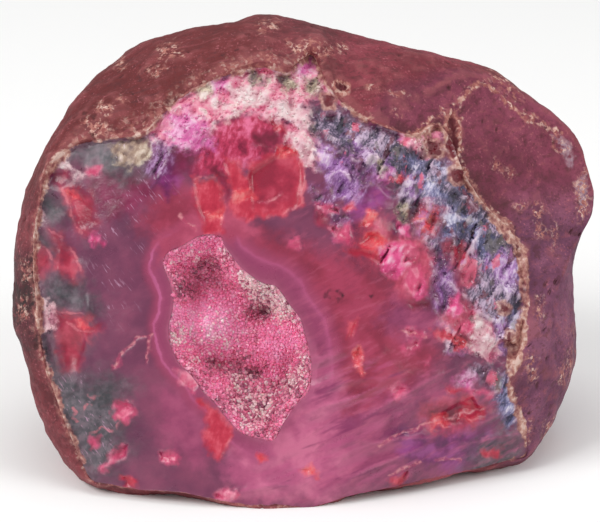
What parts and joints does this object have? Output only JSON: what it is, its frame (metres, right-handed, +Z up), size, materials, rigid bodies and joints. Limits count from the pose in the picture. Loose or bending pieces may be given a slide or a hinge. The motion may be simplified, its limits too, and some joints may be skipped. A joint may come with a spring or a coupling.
{
  "type": "agate specimen",
  "caption": "Broken agate nodule with a banded, chipped face and a crystal-lined hollow, standing on a flat ground base.",
  "frame": {"origin": "centre of the bounding box at the flat base", "axes": "+Z up, -Y towards whoever looks at the broken face, +X to their right; the face leans back 20 degrees"},
  "size_m": [0.1048, 0.075, 0.0751],
  "materials": {
    "agate": "dyed agate, waxy on the broken face, dull and pitted on the rind",
    "quartz": "glassy quartz crystals, dyed pink"
  },
  "bodies": {
    "root": {"agate_nodule": "agate", "quartz_druse": "quartz"}
  },
  "joints": []
}
